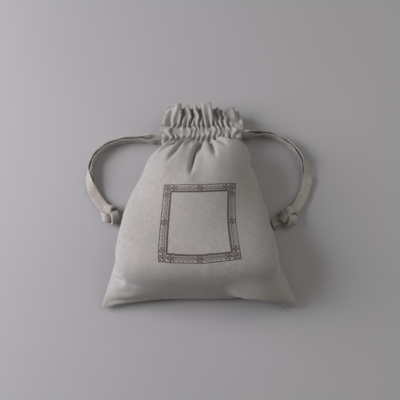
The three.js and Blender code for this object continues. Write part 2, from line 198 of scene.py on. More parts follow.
class Graph:
    """Short ways to add nodes to one node tree."""

    def __init__(self, tree):
        self.tree = tree

    def add(self, kind, inputs=None, **settings):
        node = self.tree.nodes.new(kind)
        set_all(node, settings)
        for key, value in (inputs or {}).items():
            self.put(node.inputs[key], value)
        return node

    def put(self, socket, value):
        if isinstance(value, bpy.types.NodeSocket):
            self.tree.links.new(value, socket)
        else:
            socket.default_value = value

    def math(self, operation, *values):
        return self.add("ShaderNodeMath", dict(enumerate(values)), operation=operation).outputs[0]

    def vector(self, operation, *values):
        node = self.add("ShaderNodeVectorMath", dict(enumerate(values)), operation=operation)
        return node.outputs["Vector"]

    def most(self, first, *others):
        """The largest of several values."""
        for other in others:
            first = self.math("MAXIMUM", first, other)
        return first

    def ramp(self, value, low, high, to_low=0.0, to_high=1.0):
        """A smooth step between two values."""
        node = self.add("ShaderNodeMapRange", {0: value, 1: low, 2: high, 3: to_low, 4: to_high})
        node.interpolation_type = "SMOOTHSTEP"
        return node.outputs[0]

    def mix(self, share, first, second, blend="MIX"):
        settings = {"data_type": "RGBA", "blend_type": blend}
        return self.add("ShaderNodeMix", {0: share, 6: first, 7: second}, **settings).outputs[2]

    def noise(self, vector, scale, detail=3.0, roughness=0.5):
        return self.add("ShaderNodeTexNoise", {
            "Vector": vector, "Scale": scale, "Detail": detail, "Roughness": roughness}).outputs["Fac"]


def node_group(name, inputs, outputs):
    """A new shader group with these sockets, and its graph, input node and output node."""
    tree = bpy.data.node_groups.new(name, "ShaderNodeTree")
    for label, kind, default in inputs:
        socket = tree.interface.new_socket(label, in_out="INPUT", socket_type=kind)
        if default is not None:
            socket.default_value = default
    for label, kind in outputs:
        tree.interface.new_socket(label, in_out="OUTPUT", socket_type=kind)
    graph = Graph(tree)
    return graph, graph.add("NodeGroupInput").outputs, graph.add("NodeGroupOutput").inputs


# The weave: how its threads sway, the stretch and size of its slubs, and how far each tones the cloth; the
# thread tone is painted shade between the thread crowns
SWAY_SCALE, SWAY_REACH = 180.0, 0.0007
SLUB_STRETCH = ((3000.0, 340.0, 1.0), (340.0, 3000.0, 1.0))
SLUB_SCALE, BROAD_SCALE = 0.55, 26.0
# The thread tone is painted shade: it darkens the cloth where the threads dip between their crowns, down
# to the least tone
LEAST_TONE, THREAD_SHADE, SLUB_TONE, BROAD_TONE = 0.86, 0.22, 1.0, 0.16
SLUB_RISE = 1.2


def weave_group():
    """Plain weave with uneven threads, on flat cloth coordinates in metres. Its tone holds painted shade
    between the threads.
    """
    graph, given, out = node_group(
        "linen_weave",
        [("Cloth", "NodeSocketVector", None), ("Pitch", "NodeSocketFloat", 0.0006)],
        [("Height", "NodeSocketFloat"), ("Tone and shade", "NodeSocketFloat")])
    cloth, op = given["Cloth"], graph.math
    sway = graph.add("ShaderNodeTexNoise", {"Vector": cloth, "Scale": SWAY_SCALE, "Detail": 2.0})
    sway = graph.vector("SCALE", graph.vector("SUBTRACT", sway.outputs["Color"], (0.5, 0.5, 0.5)))
    sway.node.inputs["Scale"].default_value = SWAY_REACH
    place = graph.add("ShaderNodeSeparateXYZ", {0: graph.vector("ADD", cloth, sway)}).outputs
    turns = [op("DIVIDE", place[axis], given["Pitch"]) for axis in (0, 1)]
    rise = []
    for own, other, shift in ((turns[0], turns[1], 0.0), (turns[1], turns[0], 1.0)):
        across = op("SUBTRACT", op("MULTIPLY", op("FRACT", own), 2.0), 1.0)
        crown = op("SUBTRACT", 1.0, op("MULTIPLY", across, across))
        step = op("ADD", op("ADD", other, op("FLOOR", own)), shift)
        over = op("COSINE", op("MULTIPLY", step, math.pi))
        rise.append(op("MULTIPLY", crown, op("MULTIPLY_ADD", over, 0.4, 0.6)))
    height = graph.most(*rise)
    slubs = [graph.noise(graph.vector("MULTIPLY", cloth, stretch), SLUB_SCALE, 2.0, 0.6)
             for stretch in SLUB_STRETCH]
    slub = op("MULTIPLY_ADD", op("ADD", *slubs), 0.5, -0.5)
    broad = op("SUBTRACT", graph.noise(cloth, BROAD_SCALE, 4.0, 0.6), 0.5)
    # Painted shade from the threads' relief, plus the linen's own slubs and broad mottling
    tone_and_shade = op("MULTIPLY_ADD", slub, SLUB_TONE, op("MULTIPLY_ADD", height, THREAD_SHADE, LEAST_TONE))
    graph.put(out["Height"], op("MULTIPLY_ADD", slub, SLUB_RISE, height))
    graph.put(out["Tone and shade"], op("MULTIPLY_ADD", broad, BROAD_TONE, tone_and_shade))


# The printed border, in metres of flat cloth
PRINT_CENTRE = (0.002, 0.0766)
PRINT_HALF = (0.0274, 0.0304)
PRINT_BAND = 0.0058
PRINT_REPEAT = 0.0062
STEM_SWING, STEM_WIDTH, LEAF_SWING = 0.0011, 0.0006, 0.0009
SIDE_ROSETTE_IN = 0.0085
# Radius and petals
LEAF, CORNER_ROSETTE = (0.0012, 3.0), (0.003, 8.0)
CENTRE_ROSETTE, SIDE_ROSETTE = (0.0027, 6.0), (0.0025, 5.0)
PETAL_DEPTH, RING_AT, RING_WIDTH, RING_CUT = 0.26, 0.42, 0.16, 0.75
# Depth in the band, width and strength of each rail
RAILS = ((0.0003, 0.0006, 1.0), (PRINT_BAND, 0.0013, 1.0), (PRINT_BAND - 0.0018, 0.0004, 0.8))
STEM_INK, LEAF_INK, OUTER_SHADE, INNER_SHADE = 0.9, 0.85, 0.06, 0.3
WORN_INK, INK_COVER = 0.84, 0.95
SOFT_EDGE = 0.0002


def border_group():
    """A traditional leafy frame border: rails, a waving stem with leaves, and rosettes."""
    graph, given, out = node_group(
        "printed_border", [("Cloth", "NodeSocketVector", None)], [("Ink", "NodeSocketFloat")])
    op = graph.math
    place = graph.add("ShaderNodeSeparateXYZ", {0: given["Cloth"]}).outputs
    x, y = (op("SUBTRACT", place[axis], PRINT_CENTRE[axis]) for axis in (0, 1))
    past_x = op("SUBTRACT", op("ABSOLUTE", x), PRINT_HALF[0])
    past_y = op("SUBTRACT", op("ABSOLUTE", y), PRINT_HALF[1])
    depth = op("MULTIPLY", graph.most(past_x, past_y), -1.0)
    upright = op("GREATER_THAN", past_x, past_y)
    along = op("ADD", op("MULTIPLY", upright, y), op("MULTIPLY", op("SUBTRACT", 1.0, upright), x))
    middle = PRINT_BAND / 2
    across = op("SUBTRACT", depth, middle)

    def stroke(value, width, edge=0.00012):
        return graph.ramp(op("ABSOLUTE", value), width / 2, width / 2 + edge, 1.0, 0.0)

    def rosette(u, v, radius, petals):
        size = op("SQRT", op("ADD", op("MULTIPLY", u, u), op("MULTIPLY", v, v)))
        angle = op("MULTIPLY", op("ARCTAN2", v, u), petals)
        lobe = op("MULTIPLY_ADD", op("COSINE", angle), radius * PETAL_DEPTH, radius * (1 - PETAL_DEPTH))
        leaf = graph.ramp(op("SUBTRACT", size, lobe), -0.0001, 0.00025, 1.0, 0.0)
        ring = stroke(op("SUBTRACT", size, radius * RING_AT), radius * RING_WIDTH)
        return op("SUBTRACT", leaf, op("MULTIPLY", ring, RING_CUT))

    wave = op("SINE", op("MULTIPLY", along, 2 * math.pi / PRINT_REPEAT))
    stem = stroke(op("SUBTRACT", depth, op("MULTIPLY_ADD", wave, STEM_SWING, middle)), STEM_WIDTH)
    leaf_u = op("SUBTRACT", op("PINGPONG", along, PRINT_REPEAT / 2), PRINT_REPEAT / 4)
    leaf_v = op("ADD", across, op("MULTIPLY", wave, LEAF_SWING))
    leaves = rosette(leaf_u, leaf_v, *LEAF)
    corner = rosette(op("ADD", past_x, middle), op("ADD", past_y, middle), *CORNER_ROSETTE)
    centre = rosette(along, across, *CENTRE_ROSETTE)
    reach = op("MULTIPLY_ADD", upright, PRINT_HALF[1] - PRINT_HALF[0], PRINT_HALF[0] - SIDE_ROSETTE_IN)
    beside = rosette(op("SUBTRACT", op("ABSOLUTE", along), reach), across, *SIDE_ROSETTE)
    inside = op("MULTIPLY", graph.ramp(depth, 0.0, SOFT_EDGE),
                graph.ramp(depth, PRINT_BAND - SOFT_EDGE, PRINT_BAND, 1.0, 0.0))
    ornament = graph.most(op("MULTIPLY", stem, STEM_INK), op("MULTIPLY", leaves, LEAF_INK),
                          corner, centre, beside)
    shade = op("MULTIPLY", inside, graph.ramp(depth, 0.0, PRINT_BAND, OUTER_SHADE, INNER_SHADE))
    rails = [op("MULTIPLY", stroke(op("SUBTRACT", depth, at), width), strength)
             for at, width, strength in RAILS]
    ink = graph.most(*rails, op("MULTIPLY", ornament, inside), shade)
    worn = graph.ramp(graph.noise(given["Cloth"], 900.0, 3.0, 0.65), 0.25, 0.6, WORN_INK, 1.0)
    graph.put(out["Ink"], op("MULTIPLY", ink, worn))


WEAVE_RELIEF, THREAD_RELIEF = (0.55, 0.00022), (0.4, 0.0001)
# The second value darkens the sewing thread's twist grooves as painted shade
TWIST_SCALE, GROOVE_SHADE, TAPE_PITCH = 900.0, 0.78, 0.9


def place_group(graph, name, **inputs):
    node = graph.add("ShaderNodeGroup", node_tree=bpy.data.node_groups[name])
    for key, value in inputs.items():
        graph.put(node.inputs[key.capitalize()], value)
    return node.outputs


def new_material(name, roughness, sheen):
    material = bpy.data.materials.new(name)
    material.use_nodes = True
    graph = Graph(material.node_tree)
    shader = material.node_tree.nodes["Principled BSDF"]
    plain = {"Roughness": roughness, "Sheen Weight": sheen, "Sheen Roughness": 0.6,
             "Specular IOR Level": 0.2}
    for label, value in plain.items():
        shader.inputs[label].default_value = value
    return material, graph, shader


def add_relief(graph, shader, height, strength, distance):
    bump = graph.add("ShaderNodeBump", {"Height": height, "Strength": strength, "Distance": distance})
    graph.put(shader.inputs["Normal"], bump.outputs["Normal"])


def woven_material(name, tint, pitch, printed=None):
    """Linen or tape, with the weave as colour, painted shade between its threads and relief, and the print
    where it has one.
    """
    _, graph, shader = new_material(name, 0.9, 0.25)
    cloth = graph.add("ShaderNodeAttribute", attribute_name="flat").outputs["Vector"]
    weave = place_group(graph, "linen_weave", cloth=cloth, pitch=pitch)
    # The weave's tone darkens the tint with its slubs and with painted shade between the threads
    base = graph.mix(1.0, (*tint, 1.0), weave["Tone and shade"], "MULTIPLY")
    if printed:
        ink = place_group(graph, "printed_border", cloth=cloth)["Ink"]
        base = graph.mix(graph.math("MULTIPLY", ink, INK_COVER), base, (*printed, 1.0))
    graph.put(shader.inputs["Base Color"], base)
    add_relief(graph, shader, weave["Height"], *WEAVE_RELIEF)


def thread_material(tint):
    """Twisted sewing thread, with painted shade in the grooves of its twist."""
    _, graph, shader = new_material("sewing_thread", 0.7, 0.3)
    place = graph.add("ShaderNodeTexCoord").outputs["Object"]
    twist = graph.add("ShaderNodeTexWave", {"Vector": place, "Scale": TWIST_SCALE, "Distortion": 1.5},
                      bands_direction="DIAGONAL").outputs["Fac"]
    # Painted shade: the tint darkens in the grooves between the twists
    graph.put(shader.inputs["Base Color"], graph.mix(
        twist, (*[c * GROOVE_SHADE for c in tint], 1.0), (*tint, 1.0)))
    add_relief(graph, shader, twist, *THREAD_RELIEF)


# Tapes along a route

SECTION_SIDES = 14
SECTION_ROUND = 4.0


def smooth_path(points, steps):
    """A smooth line through the points, with this many steps between neighbours."""
    path = []
    for k in range(len(points) - 1):
        before = points[max(k - 1, 0)]
        a, b = points[k], points[k + 1]
        after = points[min(k + 2, len(points) - 1)]
        third = (b - a).length / 3
        leave = a + (b - before).normalized() * third
        reach = b - (after - a).normalized() * third
        path += interpolate_bezier(a, leave, reach, b, steps + 1)[:-1]
    return path + [points[-1]]


def directions(path, closed=False):
    count = len(path)
    if closed:
        return [(path[(k + 1) % count] - path[k - 1]).normalized() for k in range(count)]
    return [(path[min(k + 1, count - 1)] - path[max(k - 1, 0)]).normalized() for k in range(count)]


def section_frame(at, ahead, across, half_width, half_ply):
    """Where a section lies: across the tape, through it and along it."""
    side = (across - ahead * across.dot(ahead)).normalized()
    face = ahead.cross(side)
    columns = Matrix((side * half_width, face * half_ply, ahead)).transposed().to_4x4()
    return Matrix.Translation(at) @ columns


def sweep(bm, frames, half_width, closed=False):
    """Draws a rounded flat section along the frames by extruding it."""
    flat = bm.verts.layers.float_vector.get("flat") or bm.verts.layers.float_vector.new("flat")
    ring = bmesh.ops.create_circle(bm, cap_ends=not closed, segments=SECTION_SIDES, radius=1.0)["verts"]
    power = 2 / SECTION_ROUND
    for vert in ring:
        x, y = vert.co.x, vert.co.y
        vert.co.x = math.copysign(abs(x) ** power, x)
        vert.co.y = math.copysign(abs(y) ** power, y)
        vert[flat] = (vert.co.x * half_width, 0.0, TAPE_LAYER)
    bmesh.ops.transform(bm, matrix=frames[0], verts=ring)
    edges = first = ring_edges(ring)
    walked = 0.0
    for before, after in zip(frames, frames[1:]):
        walked += (after.translation - before.translation).length
        made = bmesh.ops.extrude_edge_only(bm, edges=edges)["geom"]
        verts = [item for item in made if isinstance(item, bmesh.types.BMVert)]
        edges = [item for item in made if isinstance(item, bmesh.types.BMEdge)
                 and all(vert in verts for vert in item.verts)]
        bmesh.ops.transform(bm, matrix=after @ before.inverted(), verts=verts)
        for vert in verts:
            vert[flat] = (vert[flat].x, walked, TAPE_LAYER)
    if closed:
        bmesh.ops.bridge_loops(bm, edges=first + edges)
    else:
        bmesh.ops.contextual_create(bm, geom=edges)


def put_in_order(bm):
    """Sorts edges and faces by their vertices, so that each run gives the same mesh."""
    bm.verts.index_update()
    count = len(bm.verts)

    def rank(item):
        numbers = [vert.index for vert in item.verts]
        return min(numbers) * count + max(numbers)

    bm.edges.sort(key=rank)
    bm.faces.sort(key=rank)


def tape_object(name, frames, half_width, material, closed=False):
    bm = bmesh.new()
    sweep(bm, frames, half_width, closed)
    bmesh.ops.recalc_face_normals(bm, faces=bm.faces)
    put_in_order(bm)
    obj = object_from(bm, name, material)
    subdivide(obj)
    return obj


# The loops outside the bag, with the points of their routes in metres

LOOPS = {
    "left": {
        "side": -1,
        "route": [(-0.046, 0.0565), (-0.059, 0.0563), (-0.0715, 0.053), (-0.081, 0.0467),
                  (-0.087, 0.0378), (-0.089, 0.0273), (-0.087, 0.017), (-0.083, 0.008),
                  (-0.077, -0.0006), (-0.0705, -0.0087)],
        "twist": (0.55, 0.85),
        "exit_lean": 0.9,
        "tail_end": (-0.0565, -0.011),
    },
    "right": {
        "side": 1,
        "route": [(0.0465, 0.0615), (0.057, 0.061), (0.068, 0.056), (0.0775, 0.0475),
                  (0.084, 0.0375), (0.0865, 0.0265), (0.0845, 0.015), (0.0805, 0.005),
                  (0.0755, -0.0032), (0.0695, -0.0105)],
        "twist": (0.4, 0.75),
        "exit_lean": 0.5,
        "tail_end": (0.0565, -0.0165),
    },
}
VENT_LEAD = 0.004
STRAND_SPACING = 0.0022
LEVEL_SHARE, DROP_SHARE, RISE_SHARE, EXIT_SHARE = 0.04, 0.2, 0.15, 0.3
INSIDE_REACH = 0.014
STRAND_STEPS = 6
SPREAD_FROM, SPREAD_OVER = 0.8, 1.2
WANDER = 0.09
TAIL_SPREAD = 0.003
TAIL_DROP, TAIL_CURL, TAIL_NARROW = 0.7, 0.25, 0.86
FLOOR_GAP = 0.0003


def lane_y(name):
    low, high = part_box(f"{name}_front_run")
    return (low.y + high.y) / 2


def vent_x(name):
    return abs(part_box(f"{name}_front_strand")[0 if LOOPS[name]["side"] > 0 else 1].x)


def leaving_z(layer):
    return MOUTH_Z + layer * (FRONT_RUN_Z - MOUTH_Z)


def resting_height(lean, tape):
    """How high the doubled tape's middle lies over the floor when it leans so far."""
    on_edge = tape.width / 2 * abs(math.sin(lean))
    on_face = (STRAND_SPACING + tape.ply) / 2 * math.cos(lean)
    return on_edge + on_face + FLOOR_GAP


def knot_centre(name):
    low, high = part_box(f"{name}_knot")
    return (low + high) / 2


def strand_frames(name, layer, tape):
    """The sections of one strand, from inside the casing to the knot."""
    plan = LOOPS[name]
    side = plan["side"]
    lane = lane_y(name)

    def lean_at(share):
        first, last = plan["twist"]
        upright = plan["exit_lean"] + (1 - plan["exit_lean"]) * smooth(share / EXIT_SHARE)
        return -side * math.pi / 2 * upright * (1 - smooth((share - first) / (last - first)))

    vent, leave = vent_x(name), leaving_z(layer)
    plan_points = [(side * vent, lane), (side * (vent + VENT_LEAD), lane), *plan["route"]]
    last = len(plan_points) - 1
    points = []
    for k, (x, y) in enumerate(plan_points):
        share = k / last
        resting = resting_height(lean_at(share), tape)
        held = 1 - smooth((share - LEVEL_SHARE) / DROP_SHARE)
        tied = smooth((share - 1 + RISE_SHARE) / RISE_SHARE)
        z = resting + (leave - resting) * held + (knot_centre(name).z - resting) * tied
        points.append(Vector((x, y, z)))
    inner = Vector((side * (vent - INSIDE_REACH), lane, leave))
    path = smooth_path([inner, *points], STRAND_STEPS)
    ahead = directions(path)
    frames, centres = [], []
    for k, at in enumerate(path):
        passed = k / STRAND_STEPS
        gathered = 1 - smooth((passed - SPREAD_FROM) / SPREAD_OVER)
        wander = WANDER * math.sin(5.1 * passed + layer + side)
        turn = Matrix.Rotation(lean_at(max(0.0, (passed - 1) / last)) + wander, 3, ahead[k])
        across = turn @ UP.cross(ahead[k]).normalized()
        face = ahead[k].cross(across).normalized()
        centre = at + face * layer * STRAND_SPACING / 2 * (1 - gathered)
        half_width = tape.width / 2 * (1 - gathered) + RUN_HALF[0] * gathered
        half_ply = tape.ply / 2 * (1 - gathered) + RUN_HALF[1] * gathered
        centre.z = max(centre.z, FLOOR_GAP + half_width * abs(across.z) + half_ply * abs(face.z))
        frames.append(section_frame(centre, ahead[k], across, half_width, half_ply))
        centres.append(centre)
    return frames, centres


def tail_frames(name, layer, tape):
    """The cut end behind the knot."""
    plan = LOOPS[name]
    start = knot_centre(name)
    end = Vector((*plan["tail_end"], resting_height(0.0, tape) + layer * STRAND_SPACING / 2))
    aside = (end - start).cross(UP).normalized()
    end += aside * layer * TAIL_SPREAD / 2
    bend = start.lerp(end, 0.5)
    bend.z = start.z + (end.z - start.z) * TAIL_DROP
    path = smooth_path([start, bend, end], 5)
    ahead = directions(path)
    frames = []
    for k, at in enumerate(path):
        curl = TAIL_CURL * layer * k / len(path)
        across = Matrix.Rotation(curl, 3, ahead[k]) @ UP.cross(ahead[k]).normalized()
        frames.append(section_frame(at, ahead[k], across, tape.width / 2 * TAIL_NARROW, tape.ply / 2))
    return frames


KNOT_STEPS = 96
KNOT_HALF = (0.0036, 0.0012)
KNOT_TILT = math.radians(24.0)
KNOT_INSET = (0.0012, 0.0006, 0.0026)
KNOT_FACING_UP = 4.0


def knot_frames(name):
    """An overhand knot drawn tight: three interlaced turns of the doubled tape."""
    low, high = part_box(f"{name}_knot")
    reach = (high - low) / 2
    route = LOOPS[name]["route"]
    heading = math.atan2(route[-1][1] - route[-2][1], route[-1][0] - route[-2][0])
    turn = Matrix.Rotation(heading + KNOT_TILT * LOOPS[name]["side"], 3, "Z")
    path = []
    for k in range(KNOT_STEPS):
        t = 2 * math.pi * k / KNOT_STEPS
        path.append(turn @ Vector((
            (math.sin(t) + 2 * math.sin(2 * t)) / 3 * (reach.x - KNOT_INSET[0]),
            (math.cos(t) - 2 * math.cos(2 * t)) / 3 * (reach.y - KNOT_INSET[1]),
            -math.sin(3 * t) * (reach.z - KNOT_INSET[2]))))
    ahead = directions(path, closed=True)
    centre = knot_centre(name)
    frames = []
    for at, forward in zip(path, ahead):
        outward = Vector((at.x, at.y, at.z * KNOT_FACING_UP)).normalized()
        frames.append(section_frame(centre + at, forward, outward.cross(forward), *KNOT_HALF))
    return frames


# The settled linen

COLUMN = 1.7 * MM
BODY_ROW = 3.3 * MM
CASING_ROWS = 6
CASING_PUFF = 1.25
HEADER_ROW = 2.75 * MM
SMOOTH_END = 9.0 * MM
SMOOTH_END_GATHERED = 7.5 * MM
SIM_SCALE = 10.0
START_Z = 10.0 * MM
START_GAP, START_CROWN, CROWN_REACH = 0.4, 5.0, 30 * MM
SIM_FLOOR = -0.9 * MM
SIM_TOUCH = 0.006
CASING_ROOM, CASING_EASE = 0.0005, 0.0008
GATHER_FRAMES = 26
SETTLE_FRAMES = 50

# The side seams as the filled bag lies: share of the way up, and x or height in millimetres
LEFT_SEAM_X = [(0.0, 74.0), (0.14, 68.0), (0.24, 64.0), (0.365, 61.0), (0.51, 57.0), (0.6, 48.0),
               (0.66, 41.0), (0.77, 32.0), (0.87, 29.0), (0.95, 30.0), (1.0, 31.5)]
RIGHT_SEAM_X = [(0.0, 73.5), (0.14, 65.5), (0.24, 59.5), (0.365, 54.5), (0.51, 49.5), (0.6, 41.5),
                (0.66, 36.0), (0.77, 28.0), (0.87, 27.0), (0.95, 32.0), (1.0, 34.5)]
SEAM_Z = [(0.0, 3.5), (0.14, 9.0), (0.24, 13.0), (0.365, 12.0), (0.51, 8.5), (0.6, 5.0), (0.66, 3.5),
          (0.87, 4.5), (0.95, 7.0), (1.0, 9.85)]
NECK_SHIFT = 1.5 * MM
GATHER_SHIFT = {FRONT: 0.6, BACK: 2.4}
# Size, waves across the row and lag of each unevenness of the pleats
PLEAT_DRIFT = ((0.55, 4.3, 1.0), (0.35, 9.7, 2.1))
UPPER_SLANT = 0.12
VENT_RISE, VENT_RISE_OVER, PLEAT_FADE = 2.3 * MM, 4 * MM, 6 * MM
TUCKED_SHRINK = 0.26
UNDERSIDE_SHARE = 0.77
RUFFLE_SHARE = 0.7

# The bottom seam, lifted where the right corner folds up: x, distance in from the corners and height,
# in millimetres
BOTTOM_SEAM = [(-74, 2.5, 3.5), (-72.8, 0.5, 3.4), (-69.5, 0.4, 3.6), (-62, 2.6, 4.5), (-45, 6, 5),
               (-20, 7.5, 4.5), (0, 7.5, 4.3), (24, 7.8, 5), (38, 9, 11), (46, 11, 19), (52.5, 7.5, 12),
               (59, 4, 6.5), (65, 1.2, 4.8), (69.5, 0.3, 4), (72.5, 0.5, 3.6), (73.5, 2.5, 3.5)]
CORNER_ROUND = 0.0025

# How the front ruffle's free edge folds: x, height above the mouth and drop from its top, in millimetres
RUFFLE = [(-31, 1.5, 4), (-28.5, 6, 3), (-20, 10, 1), (-16.5, 9, 0.5), (-17.5, 3, 1), (-15, 2, 1.5),
          (-12.5, 8, 1), (-11, 8, 1), (-9.5, 2, 1.5), (-7.5, 1.5, 1.5), (-5.5, 7.5, 1), (-4, 7.5, 1),
          (-3, 2, 1.5), (-1, 1.5, 1.5), (-0.5, 9, 0), (6.5, 10.5, 0), (8, 9, 0.5), (7.5, 2.5, 1.5),
          (10, 1.5, 2), (12, 5.5, 2), (14, 5.5, 2), (15, 1.5, 2.5), (17, 1.5, 2.5), (18.5, 6, 2.5),
          (25, 7, 3), (26.5, 5.5, 3), (26.5, 1.5, 3.5), (31, 1, 4)]
UNDERSIDE_RUFFLE = 0.75

# The hidden filling that the cloth settles on: y, middle, half width, top and underside, in millimetres
FILLING = [(-73, 0, 20, 15, 7), (-71.5, 0, 40, 27, 5), (-68, 0, 52, 37, 3), (-61, -1, 58, 43, 3),
           (-50.5, -2, 60, 44.5, 3), (-34, -3, 58, 42, 3), (-14, -3.5, 53.5, 37, 4), (5, -3, 49, 31.5, 6),
           (20, 0, 43, 27.5, 8), (32, 3, 33, 23.5, 9), (42, 4, 23, 19, 10)]
FILLING_ROUND = 2.4
FILLING_SIDES = 36

CLOTH = {
    "quality": 6, "mass": 0.3, "tension_stiffness": 40.0, "compression_stiffness": 40.0,
    "shear_stiffness": 0.6, "bending_stiffness": 1.5, "tension_damping": 5.0, "compression_damping": 5.0,
    "shear_damping": 5.0, "bending_damping": 0.5, "air_damping": 2.0, "vertex_group_bending": "doubled",
    "bending_stiffness_max": 8.0, "vertex_group_mass": "held", "vertex_group_shrink": "tucked",
    "shrink_max": TUCKED_SHRINK, "use_pressure": True, "uniform_pressure_force": 16.0,
    "vertex_group_pressure": "pressed",
}
TOUCH = {
    "distance_min": SIM_TOUCH, "friction": 1.0, "use_self_collision": True, "self_distance_min": SIM_TOUCH,
}


def row_places(cloth):
    """Distances of the rows from the bottom seam, and the numbers of the two stitch rows."""
    body = round(cloth.body_length / BODY_ROW)
    rows = [cloth.body_length * k / body for k in range(body + 1)]
    casing = (HEADER_Y - CASING_Y) * CASING_PUFF
    rows += [cloth.body_length + casing * k / CASING_ROWS for k in range(1, CASING_ROWS + 1)]
    header = round(cloth.header_length / HEADER_ROW)
    rows += [rows[body + CASING_ROWS] + cloth.header_length * k / header for k in range(1, header + 1)]
    return rows, body, body + CASING_ROWS


def gathered(s, cloth, shift):
    """Where a point of the flat stitch row goes when the row is drawn up: x and height."""
    reach = cloth.flat_width / 2 - SMOOTH_END
    drawn = NECK_X - MM - SMOOTH_END_GATHERED
    if abs(s) > reach:
        x = drawn + (abs(s) - reach) * SMOOTH_END_GATHERED / SMOOTH_END
        return math.copysign(x, s), VENT_RISE * smooth((abs(s) - reach) / VENT_RISE_OVER)
    u = s / reach
    uneven = sum(size * math.sin(waves * u + lag * shift) for size, waves, lag in PLEAT_DRIFT)
    depth = 0.8 + 0.2 * math.sin(7.3 * u + 1.3 * shift)
    fade = min(1.0, (reach - abs(s)) / PLEAT_FADE)
    return u * drawn, cloth.pleat_depth * depth * fade * math.cos(cloth.pleats * math.pi * u + uneven)


def even_places(path, count):
    """Points at even distances along a path."""
    line = [(0.0, path[0])]
    for a, b in zip(path, path[1:]):
        line.append((line[-1][0] + (b - a).length, b))
    return [along_line(line, line[-1][0] * k / count) for k in range(count + 1)]


def ruffle_edge(side, columns):
    """Where the free edge of one ruffle is held, column by column."""
    height = 1.0 if side == FRONT else -UNDERSIDE_RUFFLE
    path = smooth_path([Vector((side * x, -drop, height * z)) * MM for x, z, drop in RUFFLE], 5)
    middle = Vector((NECK_SHIFT, HEADER_TOP, MOUTH_Z))
    places = [middle + place for place in even_places(path, columns)]
    return places if side == FRONT else places[::-1]


def flat_bag(cloth):
    """The bag as sewn and laid flat: two panels joined at the sides and the bottom."""
    columns = round(cloth.flat_width / COLUMN)
    rows, lower, upper = row_places(cloth)
    bm = bmesh.new()
    flat = bm.verts.layers.float_vector.new("flat")
    panel = bm.faces.layers.int.new("panel")
    bmesh.ops.create_grid(bm, x_segments=columns, y_segments=len(rows) - 1, size=0.5)
    numbers = {vert: (round((vert.co.y + 0.5) * (len(rows) - 1)), round((vert.co.x + 0.5) * columns))
               for vert in bm.verts}
    for face in bm.faces:
        face[panel] = FRONT
    copy = bmesh.ops.duplicate(bm, geom=bm.verts[:] + bm.edges[:] + bm.faces[:])
    back_faces = [item for item in copy["geom"] if isinstance(item, bmesh.types.BMFace)]
    for face in back_faces:
        face[panel] = BACK
    bmesh.ops.reverse_faces(bm, faces=back_faces)
    grid = {}
    for vert, (row, column) in numbers.items():
        grid[FRONT, row, column] = vert
        grid[BACK, row, column] = copy["vert_map"][vert]
    for (side, row, column), vert in grid.items():
        s = cloth.flat_width * (column / columns - 0.5)
        crown = (1 - (2 * s / cloth.flat_width) ** 2) * min(1.0, rows[row] / CROWN_REACH)
        if row > lower:
            crown = 1.0
        seam = row <= lower and (row == 0 or column in (0, columns))
        z = START_Z if seam else START_Z + side * (START_GAP + START_CROWN * crown) * MM
        vert.co = (s, CASING_Y - cloth.body_length + rows[row], z)
        vert[flat] = (s, rows[row], PANEL_LAYER * side)
    welds = {}
    for row in range(lower + 1):
        for column in range(columns + 1) if row == 0 else (0, columns):
            welds[grid[BACK, row, column]] = grid[FRONT, row, column]
            grid[BACK, row, column] = grid[FRONT, row, column]
    bmesh.ops.weld_verts(bm, targetmap=welds)
    bm.verts.index_update()
    numbers = {key: vert.index for key, vert in grid.items()}
    return mesh_from(bm, "flat_bag"), numbers, columns, (rows, lower, upper)


def held_places(cloth, numbers, columns, layout):
    """Where the drawstrings and the filling hold the seams and the stitch rows: vertex to place."""
    rows, lower, upper = layout
    held = {}
    for row in range(lower):
        share = row / lower
        y = CORNER_Y + CORNER_ROUND + (CASING_Y - CORNER_Y - CORNER_ROUND) * share
        for column, sign, seam in ((0, -1, LEFT_SEAM_X), (columns, 1, RIGHT_SEAM_X)):
            held[numbers[FRONT, row, column]] = Vector((
                sign * along_line(seam, share) * MM, y, along_line(SEAM_Z, share) * MM))
    bottom = [Vector((x * MM, CORNER_Y + inset * MM, z * MM)) for x, inset, z in BOTTOM_SEAM]
    for column, place in enumerate(even_places(smooth_path(bottom, 5), columns)):
        held[numbers[FRONT, 0, column]] = place
    for side, level in ((FRONT, FRONT_ROW_Z), (BACK, BACK_ROW_Z)):
        for row, y, slant in ((lower, CASING_Y, 0.0), (upper, HEADER_Y, UPPER_SLANT)):
            for column in range(columns + 1):
                s = cloth.flat_width * (column / columns - 0.5)
                x, rise = gathered(s, cloth, GATHER_SHIFT[side] + slant)
                z = level + side * rise
                if row == lower and column in (0, columns):
                    z = MOUTH_Z
                held[numbers[side, row, column]] = Vector((x + NECK_SHIFT, y, z))
        for column, place in enumerate(ruffle_edge(side, columns)):
            held[numbers[side, len(rows) - 1, column]] = place
    return held


def filling_object():
    """The filling, a rounded wedge that is high at the bottom of the bag."""
    bm = bmesh.new()
    power = 2 / FILLING_ROUND
    before = None
    for number, (y, middle, half, top, low) in enumerate(FILLING):
        ring = bmesh.ops.create_circle(bm, segments=FILLING_SIDES, radius=1.0)["verts"]
        edges = ring_edges(ring)
        for vert in ring:
            x = middle + half * math.copysign(abs(vert.co.x) ** power, vert.co.x)
            rise = math.copysign(abs(vert.co.y) ** power, vert.co.y)
            vert.co = Vector((x, y, (top + low) / 2 + (top - low) / 2 * rise)) * MM * SIM_SCALE
        if before:
            bmesh.ops.bridge_loops(bm, edges=before + edges)
        if number in (0, len(FILLING) - 1):
            bmesh.ops.contextual_create(bm, geom=edges)
        before = edges
    bmesh.ops.recalc_face_normals(bm, faces=bm.faces)
    obj = new_object("filling", mesh_from(bm, "filling"))
    subdivide(obj, 2)
    return obj


